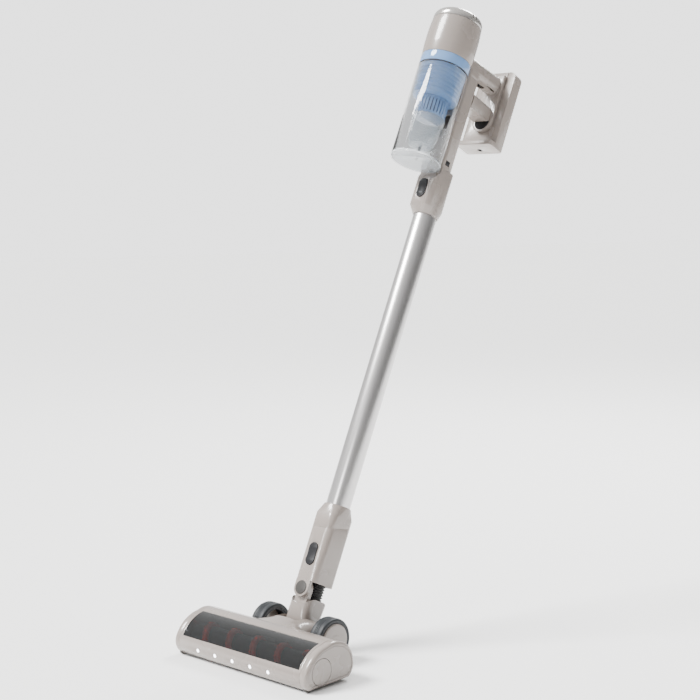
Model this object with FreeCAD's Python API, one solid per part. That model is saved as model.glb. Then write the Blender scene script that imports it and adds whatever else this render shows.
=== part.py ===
import FreeCAD, Part
import math
import os

from FreeCAD import Vector

# A cordless stick vacuum with a bagless bin, a straight wand and a motorised floor head.
# Row frame, millimetres: +X to the right across the floor head, -Y to the front, +Z up.
# The origin is the middle of the felt strip's lower face, on the floor under the head.
# Everything above the tilt hinge is drawn upright in the stick's own frame (x across,
# y towards the user, z along the stick from the tilt hinge) and then leaned back.

# ---------------------------------------------------------------- driving dimensions
LEAN = 25.0              # lean of the stick from upright, degrees, at rest
HINGE_Y = 56.5           # tilt hinge behind the origin
HINGE_Z = 32.0           # tilt hinge above the floor
GAP = 0.3                # clearance between faces of different moving bodies
RUN = 0.05               # radial running clearance of a pin in its bore

HEAD_W = 268.0           # floor head, overall width
CAP_T = 12.0             # thickness of each end cap
HEAD_FRONT = -62.0       # front bottom edge of the head
WALL = 2.4               # moulded wall of the head
ROLLER_Y = HEAD_FRONT + 25.0
ROLLER_Z = 24.5
CORE_R = 19.0            # roller over its plush cover
BRISTLE_R = 24.0         # roller over its bristle rows
ROLLER_HALF = 112.0
BRISTLE_TURNS = 4.4
BRISTLE_START = 0.0
PLUG_R = 18.6            # turn-lock plug at the roller's free end
MOTOR_Y = HEAD_FRONT + 72.0
MOTOR_Z = 29.0
ROLLER_PULLEY_R = 9.0
MOTOR_PULLEY_R = 5.0
LED_PITCH = 36.0
LED_COUNT = 5
LED_MIDDLE = -10.75

WHEEL_R = 33.0
WHEEL_W = 22.0
WHEEL_X = 60.0
WHEEL_Y = 55.0
CASTER_R = 4.4           # small rollers in the front corners
CASTER_X = 126.5

TUBE_R = 18.5            # wand tube
TUBE_WALL = 1.2
TUBE_FIT = 0.3           # slip fit of the tube in its two sockets
SOCKET_X = 20.4          # half width of both sockets
SOCKET_FRONT = -24.5     # lower socket, front and back faces
SOCKET_BACK = 23.3
HOSE_R = 13.8            # corrugated hose over its rings
HOSE_Y = 5.0             # axis of the corrugated hose behind the swivel
SWIVEL_Z = 62.0          # side swivel above the tilt hinge
SOCKET_FLOOR = 152.0     # lower end of the wand
SOCKET_TOP = 192.0
CONNECTOR_LOW = 664.5
CONNECTOR_TOP = 742.0
WAND_TOP = 712.0

BIN_Y = -57.5            # axis of the bin and of the motor, ahead of the stick's axis
BIN_R = 39.8
BIN_LOW = 735.0
BIN_TOP = 887.0
LID_HINGE_Y = -19.2      # hinge line of the bin's floor
LID_HINGE_Z = 732.6
RING_TOP = 904.7
HOUSING_LOW = 905.0
HOUSING_MID = 940.0
HOUSING_TOP = 968.0
CAP_TOP = 984.5
HOUSING_MID_R = 41.2
HOUSING_TOP_R = 39.6

HANDLE_LOW = 907.0
HANDLE_TOP = 939.0
HANDLE_RISE = 4.0         # the bar climbs towards the user, degrees
PAD_FRONT = 64.5         # rear pad that carries the battery
PAD_BACK = 71.3
PACK_FRONT = 71.6
PACK_BACK = 93.6
PACK_LOW = 820.0
PACK_TOP = 956.0
CELL_R = 9.1
CELL_L = 65.0
JACK_Y = 80.0            # charging socket in the pack's lower face
JACK_R = 2.75


# ---------------------------------------------------------------- plain shape helpers
def box(x0, x1, y0, y1, z0, z1):
    return Part.makeBox(x1 - x0, y1 - y0, z1 - z0, Vector(x0, y0, z0))


def rounded_box(x0, x1, y0, y1, z0, z1, radius):
    """A block whose four upright edges are rounded."""
    block = box(x0, x1, y0, y1, z0, z1)
    upright = [e for e in block.Edges if abs(e.Length - (z1 - z0)) < 1e-6 and
               abs(e.tangentAt(e.FirstParameter).z) > 0.99]
    return block.makeFillet(radius, upright)


def cyl_z(radius, z0, z1, x=0.0, y=0.0):
    return Part.makeCylinder(radius, z1 - z0, Vector(x, y, z0))


def cyl_x(radius, x0, x1, y, z):
    return Part.makeCylinder(radius, x1 - x0, Vector(x0, y, z), Vector(1, 0, 0))


def cyl_y(radius, y0, y1, x, z):
    return Part.makeCylinder(radius, y1 - y0, Vector(x, y0, z), Vector(0, 1, 0))


def ring_z(outer, inner, z0, z1, x=0.0, y=0.0):
    return cyl_z(outer, z0, z1, x, y).cut(cyl_z(inner, z0 - 1, z1 + 1, x, y))


def turned(points, x=0.0, y=0.0):
    """Turn a closed outline of (radius, z) points about the upright line at x, y."""
    outline = Part.makePolygon([Vector(x + r, y, z) for r, z in points + points[:1]])
    return Part.Face(outline).revolve(Vector(x, y, 0), Vector(0, 0, 1), 360)


def joined(first, *others):
    shape = first.multiFuse(list(others)) if others else first
    return shape.removeSplitter()


def oval_y(width, height, y0, y1, x, z):
    """A stadium-shaped plug lying along Y, taller than it is wide."""
    r = width / 2
    straight = (height - width) / 2
    return joined(box(x - r, x + r, y0, y1, z - straight, z + straight),
                  cyl_y(r, y0, y1, x, z - straight), cyl_y(r, y0, y1, x, z + straight))


def eased(shape, radius, chosen):
    """Fillet the edges for which chosen(edge) is true."""
    edges = [e for e in shape.Edges if chosen(e)]
    return shape.makeFillet(radius, edges) if edges else shape


def leaned(shape):
    """Move a shape from the stick's own frame into the row frame."""
    shape = shape.copy()
    shape.rotate(Vector(0, 0, 0), Vector(1, 0, 0), -LEAN)
    shape.translate(Vector(0, HINGE_Y, HINGE_Z))
    return shape


def save(name, *solids):
    shape = solids[0] if len(solids) == 1 else Part.makeCompound(list(solids))
    shape.exportStep(os.path.join("parts", name + ".step"))


def save_stick(name, *solids):
    save(name, *[leaned(s) for s in solids])


def mirrored_x(shape):
    return shape.mirror(Vector(0, 0, 0), Vector(1, 0, 0))


os.makedirs("parts", exist_ok=True)


# ---------------------------------------------------------------- floor head: casing
def head_profile(inset=0.0):
    """Side outline of the head as a closed face in the plane X = 0."""
    def at(y, z):
        return Vector(0, HEAD_FRONT + y, z)
    arcs = [(at(2, 3), at(-6.5, 16), at(-3.5, 31)),
            (at(-3.5, 31), at(12.5, 49), at(37, 58.5)),
            (at(37, 58.5), at(50, 61), at(63, 58.5)),
            (at(63, 58.5), at(82, 47), at(90, 28)),
            (at(90, 28), at(89, 14), at(80, 4))]
    edges = [Part.Arc(*arc).toShape() for arc in arcs]
    edges.append(Part.makeLine(at(80, 4), at(2, 3)))
    wire = Part.Wire(edges)
    if inset:
        wire = wire.makeOffset2D(-inset)
    return Part.Face(wire)


def head_prism(x0, x1, inset=0.0):
    face = head_profile(inset)
    face.translate(Vector(x0, 0, 0))
    return face.extrude(Vector(x1 - x0, 0, 0))


def head_y(offset):
    return HEAD_FRONT + offset


SHELL_HALF = HEAD_W / 2 - CAP_T
WINDOW = box(-118, 118, head_y(-20), head_y(36.6), 31.3, 80)
LED_X = [LED_MIDDLE + (i - (LED_COUNT - 1) / 2) * LED_PITCH for i in range(LED_COUNT)]
NECK_HALF = 44.0
NECK_FROM = 71.0
SLOT_HALF = 21.5
SCREW_X = (-52.0, 52.0, 100.0)
SCREW_AT = 74.5


def make_head_shell():
    shell = head_prism(-SHELL_HALF, SHELL_HALF)
    shell = shell.cut(head_prism(-SHELL_HALF - 1, SHELL_HALF + 1, WALL))
    open_bottom = box(-SHELL_HALF - 1, SHELL_HALF + 1, head_y(4), head_y(78), 0, 8)
    shell = shell.cut(open_bottom)
    window_hole = box(-118.2, 118.2, head_y(-20), head_y(36.8), 31.1, 80)
    neck_hole = box(-NECK_HALF - 0.2, NECK_HALF + 0.2, head_y(NECK_FROM - 0.2), head_y(120), 0, 80)
    shell = shell.cut(window_hole).cut(neck_hole)
    for side in (-1, 1):
        arch = cyl_x(WHEEL_R + 2, side * WHEEL_X - WHEEL_W / 2 - 2, side * WHEEL_X + WHEEL_W / 2 + 2,
                     WHEEL_Y, WHEEL_R)
        shell = shell.cut(arch)
    for x in LED_X:
        shell = shell.cut(cyl_y(2.8, head_y(-10), head_y(2), x, 16))
    inside = head_prism(-SHELL_HALF, SHELL_HALF, 0.5)
    for x in SCREW_X:
        boss = cyl_z(3.4, 3.5, 70, x, head_y(SCREW_AT)).common(inside)
        shell = joined(shell, boss).cut(cyl_z(1.4, 3, 12.2, x, head_y(SCREW_AT)))
    save("head_shell", shell)


def make_head_window():
    skin = head_prism(-118, 118).cut(head_prism(-119, 119, 2.0))
    save("head_window", skin.common(WINDOW))


def make_sole_plate():
    """Sole with the suction mouth, and the wall that closes the roller chamber behind."""
    plate = box(-SHELL_HALF + 0.2, SHELL_HALF - 0.2, head_y(4.2), head_y(77.8), 1.4, 3.4)
    mouth = rounded_box(-ROLLER_HALF - 2, ROLLER_HALF + 2, head_y(7), head_y(51.5), 0, 5, 4)
    plate = plate.cut(mouth)
    wall = box(-SHELL_HALF + 0.2, SHELL_HALF - 0.2, head_y(53.5), head_y(55.5), 3.4, 50)
    throat = box(-16, 16, head_y(50), head_y(60), 14, 40)
    belt_slot = box(-SHELL_HALF, -113, head_y(50), head_y(60), 8, 48)
    plate = joined(plate, wall.cut(throat).cut(belt_slot))
    notch = box(-NECK_HALF - 0.4, NECK_HALF + 0.4, head_y(NECK_FROM - 0.4), head_y(120), 0, 10)
    plate = plate.cut(notch)
    for side in (-1, 1):
        arch = cyl_x(WHEEL_R + 2, side * WHEEL_X - WHEEL_W / 2 - 2,
                     side * WHEEL_X + WHEEL_W / 2 + 2, WHEEL_Y, WHEEL_R)
        plate = plate.cut(arch)
    for x in SCREW_X:
        plate = plate.cut(cyl_z(3.05, 1, 3.0, x, head_y(SCREW_AT))).cut(cyl_z(1.5, 2, 4, x, head_y(SCREW_AT)))
    save("sole_plate", plate)


def make_end_caps():
    """Side caps with rounded rims. The right one takes the roller's turn-lock plug."""
    outer_x = HEAD_W / 2
    cap = head_prism(SHELL_HALF, outer_x)
    cap = eased(cap, 3.0, lambda e: e.BoundBox.XMin > outer_x - 0.01 and e.BoundBox.ZMax > 3.5)
    recess = head_prism(SHELL_HALF - 1, outer_x - 3.2, 4.0)
    caster_room = joined(cyl_x(CASTER_R + 0.6, CASTER_X - 3.4, CASTER_X + 3.4, head_y(4), CASTER_R),
                         cyl_x(1.05, CASTER_X - 5.5, CASTER_X + 5.0, head_y(4), CASTER_R))
    cap = cap.cut(caster_room)
    bearing = cyl_x(9, outer_x - 8.5, outer_x - 3.2, ROLLER_Y, ROLLER_Z)
    left = joined(cap.cut(recess), bearing)
    left = left.cut(cyl_x(3.0 + RUN, outer_x - 9, outer_x - 3.5, ROLLER_Y, ROLLER_Z))
    save("end_cap_left", mirrored_x(left))
    collar = cyl_x(PLUG_R + 2.4, SHELL_HALF + 1, outer_x - 3.2, ROLLER_Y, ROLLER_Z)
    collar = collar.common(head_prism(SHELL_HALF, outer_x, 0.5))
    right = joined(cap.cut(recess), collar)
    right = right.cut(cyl_x(PLUG_R + GAP, SHELL_HALF - 1, outer_x + 1, ROLLER_Y, ROLLER_Z))
    save("end_cap_right", right)


def make_end_plug():
    outer_x = HEAD_W / 2
    plug = cyl_x(PLUG_R, outer_x - 17, outer_x - 0.4, ROLLER_Y, ROLLER_Z)
    hollow = cyl_x(PLUG_R - 2, outer_x - 18, outer_x - 3.4, ROLLER_Y, ROLLER_Z)
    hub = cyl_x(6, outer_x - 17, outer_x - 3, ROLLER_Y, ROLLER_Z)
    plug = joined(plug.cut(hollow), hub)
    grip = box(outer_x - 2.0, outer_x + 1, ROLLER_Y - 12, ROLLER_Y + 12, ROLLER_Z - 1.2, ROLLER_Z + 1.2)
    plug = plug.cut(grip).cut(cyl_x(3.0 + RUN, outer_x - 18, outer_x - 5, ROLLER_Y, ROLLER_Z))
    save("end_plug", plug)


def neck_block(x_half):
    """Side outline of the hinge housing, drawn out across the head."""
    def at(y, z):
        return Vector(-x_half, head_y(y), z)
    top = at(88, 61.0)
    hinge = HINGE_Y - HEAD_FRONT
    edges = [Part.Arc(at(57, 58.5), at(73, 59.0), top).toShape(),
             Part.makeLine(top, at(104, 61.5)),
             Part.Arc(at(104, 61.5), at(hinge + 21, HINGE_Z + 21), at(hinge + 30, HINGE_Z)).toShape(),
             Part.Arc(at(hinge + 30, HINGE_Z), at(hinge + 26, 14), at(hinge + 14, 6)).toShape(),
             Part.makeLine(at(hinge + 14, 6), at(57, 6)),
             Part.makeLine(at(57, 6), at(57, 58.5))]
    return Part.Face(Part.Wire(edges)).extrude(Vector(2 * x_half, 0, 0))


def make_neck_cover():
    """Hinge housing between the wheels, with the air throat that feeds the neck."""
    hinge = HINGE_Y - HEAD_FRONT
    block = neck_block(NECK_HALF)
    for side in (-1, 1):
        cutter = Part.makePolygon([Vector(side * 26, 0, 66), Vector(side * 60, 0, 66),
                                   Vector(side * 60, 0, 36), Vector(side * 47, 0, 36),
                                   Vector(side * 26, 0, 66)])
        flank = Part.Face(cutter).extrude(Vector(0, 300, 0))
        flank.translate(Vector(0, -150, 0))
        block = block.cut(flank)
    low = head_prism(-NECK_HALF - 1, NECK_HALF + 1).common(
        box(-NECK_HALF - 1, NECK_HALF + 1, head_y(0), head_y(NECK_FROM), 0, 80))
    block = block.cut(low)
    inner = box(-NECK_HALF + 2.5, NECK_HALF - 2.5, head_y(NECK_FROM - 1), head_y(87), 8, 57)
    slot = box(-SLOT_HALF, SLOT_HALF, head_y(89.5), head_y(200), 12.5, 90)
    block = block.cut(inner).cut(slot)
    throat = box(-16, 16, head_y(55.6), head_y(99), 14, 42)
    tunnel = box(-14, 14, head_y(50), head_y(110), 16, 40)
    barrel = cyl_x(18.0, -60, 60, HINGE_Y, HINGE_Z)
    block = joined(block, throat.cut(barrel)).cut(tunnel)
    for side in (-1, 1):
        block = block.cut(cyl_x(4.0, side * 30 - 12, side * 30 + 12, HINGE_Y, HINGE_Z))
        block = block.cut(cyl_x(2.5, side * 40 - 8, side * 40 + 8, WHEEL_Y, WHEEL_R))
    save("neck_cover", block)


def make_head_axles():
    """Steel tilt pins and wheel axles, pressed into the hinge housing."""
    pins = []
    for side in (-1, 1):
        x0, x1 = sorted((side * 13, side * 31))
        pins.append(cyl_x(4.0, x0, x1, HINGE_Y, HINGE_Z))
        x0, x1 = sorted((side * 34, side * (WHEEL_X + 8.5)))
        pins.append(cyl_x(2.5, x0, x1, WHEEL_Y, WHEEL_R))
    save("head_axles", *pins)


def make_wheels():
    """Two wheels, each a rubber tyre on a dished hub with a flat outer cap."""
    half = WHEEL_W / 2
    tyre = turned([(24, -half + 1), (27.5, -half), (30.8, -half + 3.5), (WHEEL_R, -2), (WHEEL_R, 2),
                   (30.8, half - 3.5), (27.5, half), (24, half - 1)])
    hub = turned([(24, -half + 1), (24, half - 1), (21, half + 1.5), (2.5 + RUN, half + 1.5),
                  (2.5 + RUN, -half + 3), (7, -half + 3), (7, half - 3), (21.5, half - 3),
                  (21.5, -half + 1)])
    hub = joined(hub, cyl_z(7, half - 2, half + 1.5))
    for name, side in (("left", -1), ("right", 1)):
        for part_name, shape in (("wheel_tyre_", tyre), ("wheel_hub_", hub)):
            placed = shape.copy()
            placed.rotate(Vector(0, 0, 0), Vector(0, 1, 0), 90)
            placed.translate(Vector(WHEEL_X, WHEEL_Y, WHEEL_R))
            save(part_name + name, placed if side > 0 else mirrored_x(placed))


def make_front_rollers():
    """Small rollers that carry the front corners, each on its own stub pins."""
    roller = joined(cyl_x(CASTER_R, CASTER_X - 2.8, CASTER_X + 2.8, head_y(4), CASTER_R),
                    cyl_x(1.0, CASTER_X - 4.4, CASTER_X + 4.9, head_y(4), CASTER_R))
    save("front_rollers", mirrored_x(roller), roller)


def make_head_fittings():
    lenses = []
    for x in LED_X:
        bulb = cyl_y(2.6, head_y(-6.2), head_y(-1.2), x, 16)
        lenses.append(bulb)
    save("led_lenses", *lenses)
    save("led_board", box(LED_X[0] - 12, LED_X[-1] + 12, head_y(-1.1), head_y(0.3), 10, 22))
    save("felt_strip", box(-100, 100, -6, 6, 0, 1.4))
    screws = []
    for x in SCREW_X:
        head = cyl_z(3.0, 1.6, 3.0, x, head_y(SCREW_AT)).cut(cyl_z(1.1, 1, 2.4, x, head_y(SCREW_AT)))
        screws.append(joined(head, cyl_z(1.4, 3.0, 12.0, x, head_y(SCREW_AT))))
    save("head_screws", *screws)


# ---------------------------------------------------------------- floor head: drive
def make_roller():
    core = cyl_x(CORE_R, -ROLLER_HALF, ROLLER_HALF, ROLLER_Y, ROLLER_Z)
    core = core.cut(cyl_x(14, -ROLLER_HALF - 1, -10, ROLLER_Y, ROLLER_Z))
    core = core.cut(cyl_x(14, 10, ROLLER_HALF + 1, ROLLER_Y, ROLLER_Z))
    save("brush_core", core)
    left = joined(cyl_x(14, -ROLLER_HALF, -ROLLER_HALF + 10, ROLLER_Y, ROLLER_Z),
                  cyl_x(ROLLER_PULLEY_R, -ROLLER_HALF - 7, -ROLLER_HALF, ROLLER_Y, ROLLER_Z),
                  cyl_x(3.0, -HEAD_W / 2 + 4.5, -ROLLER_HALF - 7, ROLLER_Y, ROLLER_Z))
    right = joined(cyl_x(14, ROLLER_HALF - 10, ROLLER_HALF, ROLLER_Y, ROLLER_Z),
                   cyl_x(3.0, ROLLER_HALF, HEAD_W / 2 - 6, ROLLER_Y, ROLLER_Z))
    save("roller_ends", left, right)


def make_bristles():
    """One helical row of short stiff tufts, standing out of the plush."""
    rows = []
    steps = 80
    length = 2 * (ROLLER_HALF - 4)
    for i in range(steps):
        along = -length / 2 + (i + 0.5) * length / steps
        angle = BRISTLE_START + 360.0 * BRISTLE_TURNS * (i + 0.5) / steps
        tuft = box(-3.6, 3.6, -1.1, 1.1, CORE_R - 0.5, BRISTLE_R)
        tuft.rotate(Vector(0, 0, 0), Vector(1, 0, 0), angle)
        tuft.translate(Vector(along, ROLLER_Y, ROLLER_Z))
        rows.append(tuft.cut(cyl_x(CORE_R, along - 5, along + 5, ROLLER_Y, ROLLER_Z)))
    save("brush_bristles", *rows)


def make_drive():
    motor = cyl_x(12, -110, -58, MOTOR_Y, MOTOR_Z)
    motor = motor.cut(cyl_x(1.5 + RUN, -111, -90, MOTOR_Y, MOTOR_Z))
    save("roller_motor", motor)
    pulley = joined(cyl_x(MOTOR_PULLEY_R, -119, -113, MOTOR_Y, MOTOR_Z),
                    cyl_x(1.5, -113, -92, MOTOR_Y, MOTOR_Z))
    save("motor_pulley", pulley)
    save("drive_belt", belt_loop(1.4, -118.5, -113.5))


def belt_loop(thickness, x0, x1):
    """A closed band round both pulleys, from the tangent points of two circles."""
    dy, dz = MOTOR_Y - ROLLER_Y, MOTOR_Z - ROLLER_Z
    span = math.hypot(dy, dz)
    tilt = math.atan2(dz, dy)

    def loop(extra):
        r1, r2 = ROLLER_PULLEY_R + extra, MOTOR_PULLEY_R + extra
        wrap = math.acos((r1 - r2) / span)

        def on(cy, cz, r, angle):
            return Vector(x0, cy + r * math.cos(angle), cz + r * math.sin(angle))
        a, b = tilt + wrap, tilt - wrap
        first = (on(ROLLER_Y, ROLLER_Z, r1, a), on(ROLLER_Y, ROLLER_Z, r1, tilt + math.pi),
                 on(ROLLER_Y, ROLLER_Z, r1, b))
        second = (on(MOTOR_Y, MOTOR_Z, r2, b), on(MOTOR_Y, MOTOR_Z, r2, tilt),
                  on(MOTOR_Y, MOTOR_Z, r2, a))
        edges = [Part.Arc(*first).toShape(), Part.makeLine(first[2], second[0]),
                 Part.Arc(*second).toShape(), Part.makeLine(second[2], first[0])]
        return Part.Face(Part.Wire(edges)).extrude(Vector(x1 - x0, 0, 0))
    return loop(0.1 + thickness).cut(loop(0.1))


# ---------------------------------------------------------------- neck: yoke and socket
def make_neck_yoke():
    """Lower neck: barrel on the tilt hinge below, swivel tongue in front above."""
    barrel = cyl_x(17.0, -19, 19, 0, 0)
    body = rounded_box(-19, 19, -22, 22, 8, 54, 9)
    body = body.cut(cyl_y(23.6, -30, 30, 0, SWIVEL_Z))
    body = body.cut(box(-30, 30, -30, -15, -30, 14))
    yoke = joined(barrel, body, tongue(-19.7, -12, 12))
    yoke = yoke.cut(cyl_z(HOSE_R + 0.6, -4, 80, 0, HOSE_Y))
    foot = cyl_x(17.0, -30, 30, 0, 0)
    yoke = yoke.cut(box(-30, 30, 8, 30, -30, 30).cut(foot).common(knuckle_waste()))
    yoke = yoke.cut(cyl_y(10.6, -30, 2, 0, -1))
    yoke = yoke.cut(cyl_x(4.0 + RUN, -30, 30, 0, 0))
    yoke = yoke.cut(cyl_y(3.5 + RUN, -30, 0, 0, SWIVEL_Z))
    save_stick("neck_yoke", yoke)


def knuckle_waste():
    """What lies behind the curve from the yoke's back face down to its barrel."""
    outline = Part.makePolygon([Vector(0, 22.1, 34), Vector(0, 14, 10), Vector(0, 60, 10), Vector(0, 60, 34),
                                Vector(0, 22.1, 34)])
    prism = Part.Face(outline).extrude(Vector(80, 0, 0))
    prism.translate(Vector(-40, 0, 0))
    return prism


def tongue(y0, y1, half, low=32.0, top=SWIVEL_Z):
    return joined(box(-half, half, y0, y1, min(low, top), max(low, top)), cyl_y(half, y0, y1, 0, SWIVEL_Z))


def seam_cutter(above):
    """Half space above or below the slanted seam of the lower socket."""
    low_front, low_back = 154.0, 165.0
    y0, y1 = -40.0, 40.0
    slope = (low_back - low_front) / 44.0
    z0 = low_front + slope * (y0 + 24.5)
    z1 = low_front + slope * (y1 + 24.5)
    far = 260.0 if above else 20.0
    outline = Part.makePolygon([Vector(-40, y0, z0), Vector(-40, y1, z1), Vector(-40, y1, far),
                                Vector(-40, y0, far), Vector(-40, y0, z0)])
    return Part.Face(outline).extrude(Vector(80, 0, 0))


def tapered_end(x_half, y0, y1, radius, z_square, z_round, round_r):
    """A mouth that runs from the rounded-square socket to a round collar."""
    square = rounded_box(-x_half, x_half, y0, y1, z_square - 1, z_square + 1, radius)
    top = [w for f in square.Faces for w in f.Wires
           if abs(f.BoundBox.ZMin - (z_square + 1)) < 1e-6 and abs(f.BoundBox.ZMax - (z_square + 1)) < 1e-6]
    wire = top[0].copy()
    wire.translate(Vector(0, 0, -1))
    circle = Part.Wire(Part.makeCircle(round_r, Vector(0, 0, z_round)))
    return Part.makeLoft([wire, circle], True, False)


def make_socket():
    outer = rounded_box(-SOCKET_X, SOCKET_X, SOCKET_FRONT, SOCKET_BACK, 73, 176, 10)
    mouth = tapered_end(SOCKET_X, SOCKET_FRONT, SOCKET_BACK, 10, 176, SOCKET_TOP, TUBE_R + 2.0)
    whole = joined(outer, mouth)
    whole = whole.cut(cyl_z(TUBE_R + TUBE_FIT, SOCKET_FLOOR - GAP, SOCKET_TOP + 1))
    shell = whole.cut(seam_cutter(True))
    shell = joined(shell, tongue(-26, -20, 13.5, 74))
    cavity = rounded_box(-18, 18, -19.9, 20.25, 40, 96, 6)
    shell = shell.cut(cavity).cut(cyl_z(14.5, 95, SOCKET_FLOOR + 1, 0, 1.5))
    shell = shell.cut(oval_y(17.4, 34.4, -26, -17.5, 0, 113))
    shell = shell.cut(cyl_y(3.5, -25.6, -15, 0, SWIVEL_Z))
    save_stick("socket_shell", shell)
    save_stick("socket_collar", whole.cut(seam_cutter(False)))
    shank = cyl_y(3.5, -25.4, -11.6, 0, SWIVEL_Z)
    save_stick("swivel_pin", joined(shank, cyl_y(5.2, -11.6, -10.2, 0, SWIVEL_Z)))
    save_stick("swivel_cap", cyl_y(10, -27.2, -26, 0, SWIVEL_Z))
    save_stick("lower_latch_button", latch_button(17, 34, -26.2, -21.0, 113))


def latch_button(width, height, y_front, y_back, z):
    pad = oval_y(width, height, y_front, y_back, 0, z)
    dish = cyl_x(60, -30, 30, y_front - 59.2, z)
    return pad.cut(dish)


def make_neck_hose():
    """Corrugated rubber hose from the socket down into the yoke, bent by the side swivel."""
    pitch = 5.0
    low, count = 30.0, 13
    root = HOSE_R - 1.6
    outline = [(root - 1.2, low)]
    for i in range(count):
        z = low + i * pitch
        outline += [(root, z), (HOSE_R, z + pitch * 0.3), (HOSE_R, z + pitch * 0.6), (root, z + pitch * 0.9)]
    high = low + count * pitch
    outline += [(root, high), (root - 1.2, high)]
    save_stick("neck_hose", turned(outline, 0, HOSE_Y))


# ---------------------------------------------------------------- wand
def make_wand():
    save_stick("wand_tube", ring_z(TUBE_R, TUBE_R - TUBE_WALL, SOCKET_FLOOR, WAND_TOP))
    inner = TUBE_R - TUBE_WALL
    save_stick("wand_inserts", ring_z(inner, inner - 1.8, SOCKET_FLOOR, SOCKET_FLOOR + 24),
               ring_z(inner, inner - 1.8, WAND_TOP - 24, WAND_TOP))
    save_stick("wand_wiring", cyl_z(1.5, SOCKET_FLOOR + 2, WAND_TOP - 2, 0, inner - 3.4))


# ---------------------------------------------------------------- hand unit
def make_upper_connector():
    body = rounded_box(-SOCKET_X, SOCKET_X, -26, 18.8, 676, CONNECTOR_TOP, 10)
    mouth = tapered_end(SOCKET_X, -26, 18.8, 10, 676, CONNECTOR_LOW, TUBE_R + 2.0)
    body = joined(body, mouth)
    body = body.cut(cyl_z(TUBE_R + TUBE_FIT, CONNECTOR_LOW - 1, WAND_TOP + GAP))
    body = body.cut(cyl_z(13.5, WAND_TOP - 1, CONNECTOR_TOP + 1, 0, -1.5))
    body = body.cut(oval_y(17.4, 32.4, -28, -20.6, 0, 703))
    lid_room = Part.makePolygon([Vector(-30, -30, 712), Vector(-30, -17, 731), Vector(-30, -17, 760),
                                 Vector(-30, -30, 760), Vector(-30, -30, 712)])
    body = body.cut(Part.Face(lid_room).extrude(Vector(60, 0, 0)))
    save_stick("upper_connector", body)
    save_stick("upper_latch_button", latch_button(17, 32, -27.8, -23.4, 703))


def make_spine_duct():
    """Air duct behind the bin, with a port to the bin and a pocket for the bin button."""
    duct = rounded_box(-17, 17, -17, 14, CONNECTOR_TOP, HOUSING_LOW, 8)
    bore = rounded_box(-14.4, 14.4, -14.4, 11.4, CONNECTOR_TOP - 1, 878, 6)
    port = box(-9, 9, -20, -10, 808, 832)
    pocket = box(12.9, 20, -9, 1, 750, 758)
    save_stick("spine_duct", duct.cut(bore).cut(port).cut(pocket))
    lug = box(13.0, 17.4, -8.6, 0.6, 750.4, 757.6)
    save_stick("bin_release_button", lug)


def make_handle_frame():
    """Handle bar, finger guard below it and the rear pad that the battery slides on."""
    bar = rounded_box(-15, 15, HANDLE_LOW, HANDLE_TOP, -PAD_BACK - 2, 24, 13)
    bar.rotate(Vector(0, 0, 0), Vector(1, 0, 0), 90)
    bar.rotate(Vector(0, -20, HANDLE_LOW), Vector(1, 0, 0), HANDLE_RISE)
    bar = bar.cut(box(-30, 30, PAD_BACK, 200, 800, 1000))
    housing = cyl_z(HOUSING_MID_R + 0.05, HANDLE_LOW - 5, HANDLE_TOP + 9, 0, BIN_Y)
    stub = rounded_box(-17, 17, -17, 14, HOUSING_LOW + 0.2, 917, 8)
    bar = joined(bar, stub).cut(housing)
    pad = joined(box(-19, 19, PAD_FRONT, PAD_BACK, 866, 947), cyl_y(19, PAD_FRONT, PAD_BACK, 0, 866))
    guard = box(-14, 14, 14, PAD_FRONT + 1, 862, 888)
    guard = eased(guard, 8, lambda e: abs(e.tangentAt(e.FirstParameter).y) > 0.99 and e.BoundBox.ZMin > 880)
    frame = joined(bar, pad, guard)
    cavity = box(-11, 11, -8, 61, 914.4, 936)
    slot = box(-5.6, 5.6, 14.4, 42, 900, 916)
    frame = frame.cut(cavity).cut(slot)
    frame = frame.cut(cyl_x(2.0 + RUN, -12.6, 12.6, 38, 918))
    button = battery_button_shape(14.2, PAD_FRONT - 4, PAD_BACK - 0.8, 864.3)
    frame = frame.cut(button)
    save_stick("handle_frame", frame)
    save_stick("battery_release_button", battery_button_shape(13.8, PAD_FRONT - 1.2, PAD_BACK - 3.4, 864.0))


def battery_button_shape(radius, y0, y1, top):
    """Half-round push button, flat side up."""
    disc = cyl_y(radius, y0, y1, 0, 864)
    return disc.common(box(-20, 20, y0 - 1, y1 + 1, 840, top))


def make_trigger():
    lever = box(-5.2, 5.2, 20, 38, 915.5, 921)
    finger = rounded_box(-5.2, 5.2, 17.4, 23.5, 901, 921, 2)
    trigger = joined(lever, finger, cyl_x(3.6, -5.2, 5.2, 38, 918), cyl_x(2.0, -12.4, 12.4, 38, 918))
    save_stick("trigger", trigger)
    spring = cyl_x(3.4, 6, 9.5, 38, 918).cut(cyl_x(2.5, 5, 11, 38, 918))
    save_stick("trigger_spring", spring)
    board = box(-9.5, 9.5, 4, 56, 931.5, 933.1)
    switch = box(-3, 3, 20, 30, 925.5, 931.5)
    save_stick("control_board", joined(board, switch))


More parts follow.
